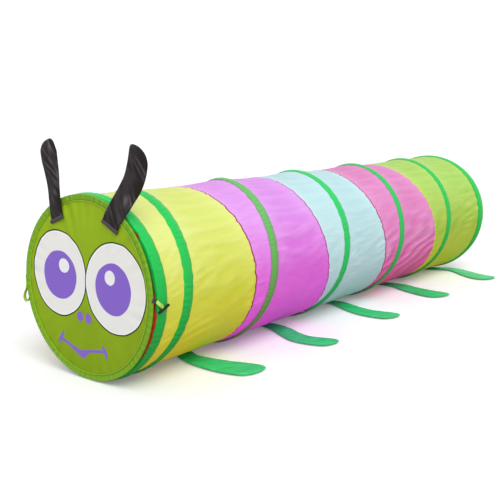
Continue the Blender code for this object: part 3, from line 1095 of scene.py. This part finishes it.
def build_rim(material):
    """Bias binding folded over the door's wire and stitched through the face cloth."""
    rounded = 0.16

    def place(across, along):
        angle = across * TURN
        turn = (along - 0.5) * 2.0
        ripple = ripples(33, (64, 77, 91, 113), angle)
        inset = np.clip((np.abs(turn) - rounded) / (1.0 - rounded), 0.0, 1.0)
        half = 0.0029 * np.clip(np.abs(turn) / rounded, 0.0, 1.0) - 0.0014 * inset
        y = RIM_PLANE + np.sign(turn) * (half + 0.0002 * ripple * inset)
        return door_point(angle, 0.2298 - 0.0135 * inset, y), ripple * 0.6

    obj = cloth_grid("door_rim", (360, 24), (1.44, 0.034), place)
    edit_whole(obj, bpy.ops.mesh.normals_make_consistent, inside=False)
    thicken(obj, SLEEVE_CLOTH, even=False)
    return dress(obj, material, "door", "door_rim_binding")


def build_ring(name, radius, thickness, y, material, node):
    """A round cord or wire that lies in the door."""
    obj = new_piece(
        name,
        bpy.ops.mesh.primitive_torus_add,
        location=(DOOR_SHIFT, y, HEIGHT),
        rotation=(math.pi / 2, 0.0, 0.0),
        major_radius=radius * DOOR_SHARE,
        minor_radius=thickness / 2,
        major_segments=240,
        minor_segments=12,
    )
    bpy.ops.object.transform_apply(location=True, rotation=True, scale=True)
    bpy.ops.object.shade_smooth()
    points = points_of(obj)
    points[:, 1] -= off_mouth(points[:, 0])
    move_points(obj, points)
    return dress(obj, material, "door", node)


def build_wire(name, body, node, steps, line, ends, material):
    """A round wire inside its sleeve, along what line gives. One with ends closes to a point at both."""

    def place(across, along):
        angle, y = line(across)
        turn = along * TURN
        inner = (across > 0.0) & (across < 1.0) | (not ends)
        thick = np.where(inner, WIRE_THICK / 2, 0.000005)
        points = round_point(angle, WIRE_LINE + thick * np.sin(turn), y + thick * np.cos(turn))
        return points, np.zeros_like(across)

    obj = cloth_grid(name, (steps, 8), (1.4, 0.0075), place)
    edit_whole(obj, bpy.ops.mesh.normals_make_consistent, inside=False)
    bpy.ops.object.shade_smooth()
    return dress(obj, material, body, node)


def build_spring_wire(material):
    """The coiled wire, from hoop to hoop."""

    def line(across):
        corner = across * COIL_CORNERS
        return (corner + 0.5) * STEP, np.clip(coil_place(corner), 0.0165, BACK - SLEEVE - 0.001)

    return build_wire("coil_wire", "front_hoop", "spring_wire", COIL_CORNERS * 4, line, True, material)


def build_hoop_wire(name, body, middle, material):
    """The wire ring of one hoop."""

    def line(across):
        return across * TURN, middle(across * TURN)

    return build_wire(name, body, body + "_wire", 180, line, False, material)


def smooth_run(stations, shares, places=2):
    """Each column of the stations, read smoothly at shares of the length of their first columns."""
    rows = np.array(stations)
    steps = np.concatenate([[0.0], np.cumsum(np.linalg.norm(np.diff(rows[:, :places], axis=0), axis=1))])
    wanted = shares * steps[-1]
    place = np.clip(np.searchsorted(steps, wanted, side="right") - 1, 0, len(steps) - 2)
    span = steps[place + 1] - steps[place]
    t = (wanted - steps[place]) / span
    columns = []
    for values in rows.T:
        slopes = np.gradient(values, steps)
        columns.append(
            (2 * t**3 - 3 * t**2 + 1) * values[place]
            + (t**3 - 2 * t**2 + t) * span * slopes[place]
            + (3 * t**2 - 2 * t**3) * values[place + 1]
            + (t**3 - t**2) * span * slopes[place + 1]
        )
    return columns


def pad_end(past, apex, left_power, right_power):
    """Where the two edges of a pad's rounded end lie, as shares of its half width."""
    left = -1.0 + (1.0 + apex) * (1.0 - (1.0 - past**left_power) ** (1.0 / left_power))
    right = 1.0 - (1.0 - apex) * (1.0 - (1.0 - past**right_power) ** (1.0 / right_power))
    return left, right


def pad_directions(stations, eased, length, root_lean):
    """Which way the pad runs at each share of its length, its root turned to root_lean if that is given."""
    ahead = smooth_run(stations, np.clip(eased + 0.01, 0.0, 1.0))
    behind = smooth_run(stations, np.clip(eased - 0.01, 0.0, 1.0))
    run = np.stack([ahead[0] - behind[0], ahead[1] - behind[1]], axis=1)
    run /= np.linalg.norm(run, axis=1)[:, None]
    if root_lean is not None:
        near = np.exp(-((eased * length / 0.018) ** 2))[:, None]
        run = run * (1.0 - near) + near * np.array([math.sin(root_lean), math.cos(root_lean)])
        run /= np.linalg.norm(run, axis=1)[:, None]
    return run


def pad_creases(far, aside, slant, seed):
    """The creases that cross a pad and run along it, and the patches of painted glints on them."""

    def spots(first, second, offset):
        return np.stack([first, second, np.full_like(far, seed + offset)], axis=1)

    crossing = crease_noise(spots(far + slant * aside, 0.35 * aside, 0.0), 0.021)
    crease = 1.0 - 2.6 * np.abs(crossing) + 0.5 * crease_noise(spots(0.3 * far, aside, 5.0), 0.012)
    patch = np.clip(3.0 * crease_noise(spots(far, aside, 9.0), 0.045) + 0.1, 0.0, 1.0)
    return crease, patch * np.clip(crease, 0.0, 1.0) ** 3


def close_pad(obj, lay):
    """Sews the pad's upper face to a mirrored lower one and lays it in its place."""
    select_only(obj)
    bpy.ops.object.duplicate()
    under = bpy.context.object
    move_points(under, points_of(under) * np.array([1.0, 1.0, -1.0]))
    under.data.flip_normals()
    obj.select_set(True)
    bpy.context.view_layer.objects.active = obj
    bpy.ops.object.join()
    edit_whole(obj, bpy.ops.mesh.remove_doubles, threshold=MERGE)
    move_points(obj, lay(points_of(obj)))
    edit_whole(obj, bpy.ops.mesh.normals_make_consistent, inside=False)
    bpy.ops.object.shade_smooth()


def flat_pad(name, stations, thickness, tip, slant, seed, lay, shade_between_glints=0.2, root_lean=None):
    """A flat stuffed pad: two faces sewn together round the outline that the stations give.

    tip is the length of its rounded end, where its point lies and how square each side of it
    is. slant turns the creases that cross the pad, shade_between_glints is how much painted shade
    lies between its painted glints, and root_lean is how far its root is turned from square. lay turns
    a place across, up and out of the pad's plane into a point.
    """
    obj = unit_grid(name, 40, 110)
    unit = points_of(obj)
    across = unit[:, 0] * 2.0
    along = np.clip(unit[:, 1] + 0.5, 0.0, 1.0)
    eased = 0.7 * along + 0.3 * np.sin(along * math.pi / 2)
    middle_x, middle_up, width = smooth_run(stations, eased)
    rows = np.array(stations)
    length = np.linalg.norm(np.diff(rows[:, :2], axis=0), axis=1).sum()
    run = pad_directions(stations, eased, length, root_lean)
    far = eased * length
    left, right = pad_end(np.clip((far - (length - tip[0])) / tip[0], 0.0, 0.9995), *tip[1:])
    aside = width / 2 * ((left + right) / 2 + across * (right - left) / 2)
    crease, painted_glints = pad_creases(far, aside, slant, seed)
    closed = np.clip(along * 30.0, 0.0, 1.0) * np.clip((1.0 - along) * 30.0, 0.0, 1.0)
    inner = np.maximum(1.0 - np.abs(across) ** 2.2, 0.0)
    out = thickness * 0.5 * inner**0.5 * closed**0.5 * (0.70 + 0.28 * crease)
    move_points(obj, np.stack([middle_x + run[:, 1] * aside, middle_up - run[:, 0] * aside, out], axis=1))
    # Painted glints, with painted shade between them and in the creases
    keep_values(obj, "fold", 0.40 * crease - shade_between_glints + (0.4 + shade_between_glints) * painted_glints)
    keep_values(obj, "edge", 1.0 - inner * closed)
    size_uv(obj, rows[:, 2].max(), length)
    close_pad(obj, lay)
    return obj


def build_antenna(side, stations, tip, tilt, material):
    """A stuffed antenna that leans forward from its hem on the face."""
    shift = off_mouth(stations[0][0])

    def lay(points):
        rise = (points[:, 1] - 0.39) / 0.19
        forward = ANTENNA_PLANE - shift - 0.0165 * rise
        flat = 0.3 + 0.7 * np.clip(rise * 4.0, 0.0, 1.0)
        return np.stack([points[:, 0], forward - points[:, 2] * flat, points[:, 1]], axis=1)

    seed = 3.0 if side == "left" else 7.0
    obj = flat_pad("antenna_pad_" + side, stations, 0.0075, tip, 0.9, seed, lay, 1.0, tilt)
    dress(obj, material, None, "antenna_" + side)
    return obj


def build_hem(side, middle, tilt, width, material):
    """The antenna's folded edge, stitched flat to the face."""
    thick, high = HEM_SIZE
    obj = soft_block("antenna_fold_" + side, (width, thick, high), 0.0012, 3)
    edit_whole(obj, bpy.ops.mesh.subdivide, number_cuts=3)
    points = points_of(obj)
    points[:, 2] += 0.0005 * np.sin(points[:, 0] * 520.0) * np.sin(points[:, 0] * 190.0 + 1.0)
    points[:, 1] -= 0.0005 * np.cos(points[:, 2] / high * math.pi * 2.2)
    move_points(obj, points)
    set_in_place(obj, (0.0, tilt, 0.0), (middle[0], ANTENNA_PLANE - off_mouth(middle[0]), middle[1]))
    bpy.ops.object.shade_smooth_by_angle(angle=math.radians(60))
    return dress(obj, material, "door", f"antenna_{side}_hem")


def build_leg(index, side, sign, material):
    """A stuffed leg that lies on the floor, with its root sewn under its band."""
    line = panel_anchor(index)
    bend = float(bend_at(line))
    under_cloth = math.sqrt(0.2280**2 - (sign * LEG_ROOT - bend) ** 2)
    sewn = max(HEIGHT - 0.0008 - under_cloth, 0.0012)

    def lay(points):
        free = np.clip((points[:, 0] - LEG_ROOT) / 0.045, 0.0, 1.0)
        x = sign * points[:, 0] + bend * free * free * (3.0 - 2.0 * free)
        root = np.clip((0.115 - points[:, 0]) / 0.08, 0.0, 1.0)
        z = LEG_MIDDLE * (1.0 - root) + sewn * root + points[:, 2] * (1.0 - 0.8 * root)
        return np.stack([x, line + points[:, 1], np.maximum(z, 0.0002)], axis=1)

    pad_name = f"leg_pad_{index + 1}_{side}"
    obj = flat_pad(pad_name, LEG_STATIONS[index], 0.0064, LEG_TIP, 0.7, 11.0 + 3.0 * index, lay)
    dress(obj, material, f"leg_{index + 1}_{side}", f"leg_{index + 1}_{side}")
    collapse(obj)


def build_ribbon(side, path, width_along, material):
    """A tie's loop of ribbon, from the rim to its crossbar."""

    def place(across, along):
        aside = (across - 0.5) * RIBBON_WIDTH
        points = np.stack(smooth_run(path, along, 3), axis=1) + aside[:, None] * np.array(width_along)
        return points, 0.4 * np.sin(along * 9.0)

    obj = cloth_grid("tie_loop_" + side, (4, 24), (RIBBON_WIDTH, 0.05), place)
    thicken(obj, FACE_CLOTH)
    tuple(path[0])
    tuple(path[-1])
    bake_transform(obj)
    return dress(obj, material, None, "tie_ribbon_" + side)


def build_bar(side, place, material):
    """A tie's round crossbar."""
    add = bpy.ops.mesh.primitive_cylinder_add
    obj = new_piece("tie_toggle_" + side, add, vertices=24, radius=0.0034, depth=0.036)
    finish_with(obj, "BEVEL", width=0.0012, segments=3, limit_method="ANGLE")
    set_in_place(obj, (math.radians(-68.0), 0.0, 0.0), place)
    bpy.ops.object.shade_smooth_by_angle(angle=math.radians(40))
    dress(obj, material, "tie_" + side, "tie_bar_" + side)


def build_patch(side, place, length, material):
    """The patch that holds a tie on the door's rim."""
    obj = soft_block("tie_stay_" + side, (0.0016, length, 0.0100), 0.0003, 2)
    set_in_place(obj, (math.radians(-12.0), 0.0, 0.0), place)
    bpy.ops.object.shade_smooth_by_angle(angle=math.radians(40))
    dress(obj, material, "door", "tie_patch_" + side)


def build_tie(side, sign, ribbon_look, bar_look, patch_look):
    """A short loop of ribbon from the door's rim, with a crossbar that lies on the mouth's sleeve."""
    wall = HOOP * math.cos(STEP / 2) + 0.0003
    stations, width_along, bar_along = TIE_PATHS[side]
    build_bar(side, (sign * (wall + 0.0042), bar_along, HEIGHT - 0.0175), bar_look)
    rim = sign * (0.2296 * DOOR_SHARE + sign * DOOR_SHIFT)
    gap = float(off_mouth(np.array(rim)))
    front = -0.0197 - gap
    length = 0.0052 + gap * 0.8
    build_patch(side, (rim + sign * 0.0010, front - 0.0026 + length / 2, HEIGHT + 0.0030), length, patch_look)
    path = [(rim + sign * 0.0024, front - 0.0040 + length, HEIGHT + 0.001)]
    path += [(sign * (wall + 0.0022 + aside), y, HEIGHT + up) for aside, y, up in stations]
    return build_ribbon(side, tuple(path), width_along, ribbon_look)


# Light, floor and camera


def build_floor():
    """A pale floor that looks brighter than the light it throws back."""
    add = bpy.ops.mesh.primitive_plane_add
    floor = new_piece("studio_floor", add, size=80.0, location=(0.0, 0.9, -0.0006))
    made, graph, shader = new_material("pale floor")
    seen = graph.add("ShaderNodeLightPath").outputs["Is Camera Ray"]
    grey = graph.mix(seen, (0.57, 0.57, 0.57), (0.95, 0.95, 0.95))
    graph.feed(shader, {"Base Color": grey, "Roughness": 0.9, "Specular IOR Level": 0.0})
    glow = graph.value("MULTIPLY", seen, 0.12)
    graph.feed(shader, {"Emission Strength": glow, "Emission Color": (1.0, 1.0, 1.0)})
    paint(floor, made)


def build_world():
    """A grey world, white for what looks straight at it or mirrors it."""
    world = bpy.data.worlds.new("studio")
    bpy.context.scene.world = world
    world.use_nodes = True
    graph = Graph(world.node_tree)
    ray = graph.add("ShaderNodeLightPath").outputs
    mirrored = graph.value("MAXIMUM", ray["Is Glossy Ray"], ray["Is Transmission Ray"])
    seen = graph.value("MAXIMUM", ray["Is Camera Ray"], mirrored)
    grey = graph.mix(seen, (0.63, 0.63, 0.64), (1.0, 1.0, 1.0))
    graph.feed(graph.nodes["Background"].inputs, {"Color": grey})


def put_in_scene(name, data, place, turn):
    made = bpy.data.objects.new(name, data)
    bpy.context.scene.collection.objects.link(made)
    made.location = place
    made.rotation_euler = turn
    return made


def build_lamp(name, turn, strength, spread):
    light = bpy.data.lights.new(name, "SUN")
    light.energy = strength
    light.angle = math.radians(spread)
    put_in_scene(name, light, (0.0, 0.0, 0.0), [math.radians(value) for value in turn])


def build_camera():
    """A camera where the photograph seems to have been taken from."""
    data = bpy.data.cameras.new("camera")
    data.sensor_width = 36.0
    data.lens = 59.03
    yaw, pitch = math.radians(37.32), math.radians(10.08)
    look = Vector((-math.sin(yaw) * math.cos(pitch), math.cos(yaw) * math.cos(pitch), -math.sin(pitch)))
    turn = look.to_track_quat("-Z", "Y").to_euler()
    bpy.context.scene.camera = put_in_scene("camera", data, (1.475, -1.314, 0.665), turn)


# Assembly

satin = satin_material()
# Each cloth's tones: its own colour, painted shade for its creases, painted light for its folds
tape = cloth_of("red tape", ((210, 62, 40), (176, 40, 26), (228, 96, 52)))
nylon = cloth_of("charcoal nylon", ((40, 34, 31), (34, 28, 25), (124, 118, 128)), 0.34, 0.12)
lime = cloth_of("lime piping", ((142, 188, 52), (124, 168, 38), (160, 202, 70)))
rim_cloth = cloth_of("rim cloth", ((120, 166, 30), (96, 142, 20), (142, 188, 50)))
face_look = face_material()
leg_satin = cloth_of("leg satin", ((18, 210, 120), (4, 158, 70), (104, 244, 166)), roughness=0.36)
ribbon_look = cloth_of("lime ribbon", ((166, 207, 82), (140, 180, 60), (190, 224, 110)))
plastic = cloth_of("black plastic", ((30, 29, 30), (22, 21, 22), (44, 43, 44)), roughness=0.35)
steel = steel_material()

tube_cloth = settle_tube()
for panel in range(PANELS):
    band = build_panel(panel, panel_material(panel), tube_cloth)
    collapse(band)
for seam in range(PANELS - 1):
    binding = build_binding(seam, tape)
    collapse(binding)
for end_name, hoop_body, hoop_middle, hoop_width in (
    ("mouth", "front_hoop", np.zeros_like, 0.043),
    ("tail", "tail_hoop", tail_line, 0.032),
):
    hoop = build_hoop_sleeve(end_name + "_sleeve", hoop_body, hoop_middle, satin)
    wire = build_hoop_wire(end_name + "_wire", hoop_body, hoop_middle, steel)
    if end_name == "tail":
        collapse(hoop)
        collapse(wire)
spring = build_spring_sleeve(satin)
coil = build_spring_wire(steel)
for piece in (spring, coil):
    collapse(piece)
facing = build_facing(tape)
face = build_face(face_look)
rim = build_rim(rim_cloth)
piping = build_ring("rim_piping", PIPING_RADIUS, 0.0022, PIPING_PLANE, lime, "face_piping")
build_ring("door_hoop_wire", 0.2272, 0.0030, RIM_PLANE, steel, "door_wire")
for side_name, side_sign in SIDES:
    stations, tip, tilt, hem_middle, hem_width = ANTENNAE[side_name]
    antenna = build_antenna(side_name, stations, tip, tilt, nylon)
    build_hem(side_name, hem_middle, tilt, hem_width, nylon)
    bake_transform(antenna)
    ribbon = build_tie(side_name, side_sign, ribbon_look, plastic, nylon)
for leg in range(PANELS):
    for side_name, side_sign in SIDES:
        build_leg(leg, side_name, side_sign, leg_satin)

build_floor()
build_world()
build_lamp("key", (40.0, 0.0, 58.0), 1.38, 35.0)
build_lamp("front", (78.0, 0.0, 36.0), 1.14, 60.0)
build_camera()
bpy.context.scene.view_settings.view_transform = "Standard"
